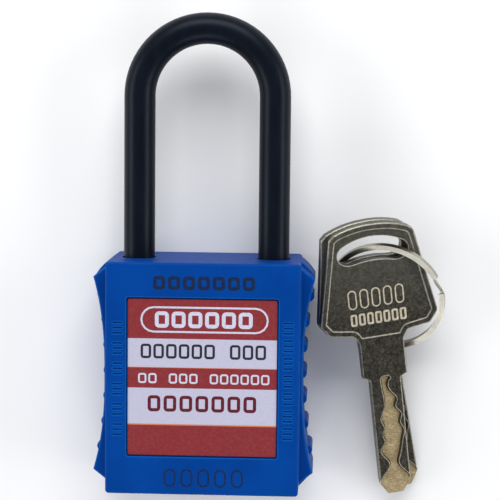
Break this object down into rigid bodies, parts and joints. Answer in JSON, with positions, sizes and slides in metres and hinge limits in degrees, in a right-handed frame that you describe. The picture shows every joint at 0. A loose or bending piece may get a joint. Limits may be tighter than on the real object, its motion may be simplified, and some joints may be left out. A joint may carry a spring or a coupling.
{
  "type": "safety padlock",
  "caption": "Moulded lockout padlock with a long slim non-conductive shackle, a ribbed waisted body, a front label and flat keys on a split ring.",
  "frame": {"origin": "centre of the body's back face, which lies on the surface", "axes": "+X to the right of the front face, +Y along the lock towards the shackle's bow, +Z out of the front (label) face"},
  "size_m": [0.0673, 0.0942, 0.02],
  "materials": {
    "blue_nylon": "fine moulded satin",
    "black_nylon": "satin",
    "label_print": "printed, semi-gloss",
    "die_cast_zinc": "as cast",
    "zinc_plated_steel": "bright zinc",
    "spring_steel": "polished wire",
    "brass": "machined",
    "tarnished_nickel": "dark tarnished nickel plate over brass",
    "ring_steel": "nickel plated"
  },
  "bodies": {
    "lock_body": {"body_shell": "blue_nylon", "front_label": "label_print", "bottom_cover": "blue_nylon", "case_screw": "zinc_plated_steel", "lock_case": "brass", "heel_pin": "zinc_plated_steel", "cylinder_housing": "brass", "shackle_spring": "spring_steel"},
    "plug": {"plug": "brass", "plug_clip": "spring_steel", "cam": "die_cast_zinc", "wafer_1": "brass", "wafer_2": "brass", "wafer_3": "brass", "wafer_4": "brass", "wafer_5": "brass", "wafer_6": "brass", "wafer_spring_1": "spring_steel", "wafer_spring_2": "spring_steel", "wafer_spring_3": "spring_steel", "wafer_spring_4": "spring_steel", "wafer_spring_5": "spring_steel", "wafer_spring_6": "spring_steel"},
    "shackle": {"shackle": "black_nylon"},
    "latch_toe": {"latch_toe": "die_cast_zinc"},
    "latch_heel": {"latch_heel": "die_cast_zinc"},
    "key_upper": {"key_upper": "tarnished_nickel"},
    "key_lower": {"key_lower": "tarnished_nickel"},
    "key_ring": {"key_ring": "ring_steel"}
  },
  "joints": [
    {"name": "plug_turn", "type": "hinge", "parent": "lock_body", "child": "plug", "pos_m": [0, -0.0218, 0.01], "axis": [0, 1, 0], "range_deg": [0, 90]},
    {"name": "shackle_lift", "type": "slide", "parent": "lock_body", "child": "shackle", "axis": [0, 1, 0], "range_m": [0, 0.0115], "deforming": ["shackle_spring"]},
    {"name": "latch_toe_slide", "type": "slide", "parent": "lock_body", "child": "latch_toe", "axis": [-1, 0, 0], "range_m": [0, 0.0032]},
    {"name": "latch_heel_slide", "type": "slide", "parent": "lock_body", "child": "latch_heel", "axis": [1, 0, 0], "range_m": [0, 0.0032]},
    {"name": "keys_lift", "type": "slide", "parent": "lock_body", "child": "key_upper", "axis": [0, 0, 1], "range_m": [0, 0.06]},
    {"name": "key_lower_fan", "type": "hinge", "parent": "key_upper", "child": "key_lower", "pos_m": [0.03002, 0.02415, 0.01121], "axis": [0.1942, -0.1408, 0.9708], "range_deg": [-2.5, 1]},
    {"name": "ring_turn", "type": "hinge", "parent": "key_upper", "child": "key_ring", "pos_m": [0.03481, 0.01484, 0.00729], "axis": [-0.2351, -0.3976, 0.8869], "continuous": true}
  ],
  "couplings": [
    {"joint": "plug_turn", "follows": "shackle_lift", "rad_per_m": 136.59},
    {"joint": "latch_toe_slide", "follows": "shackle_lift", "ratio": 0.27826},
    {"joint": "latch_heel_slide", "follows": "shackle_lift", "ratio": 0.27826}
  ]
}
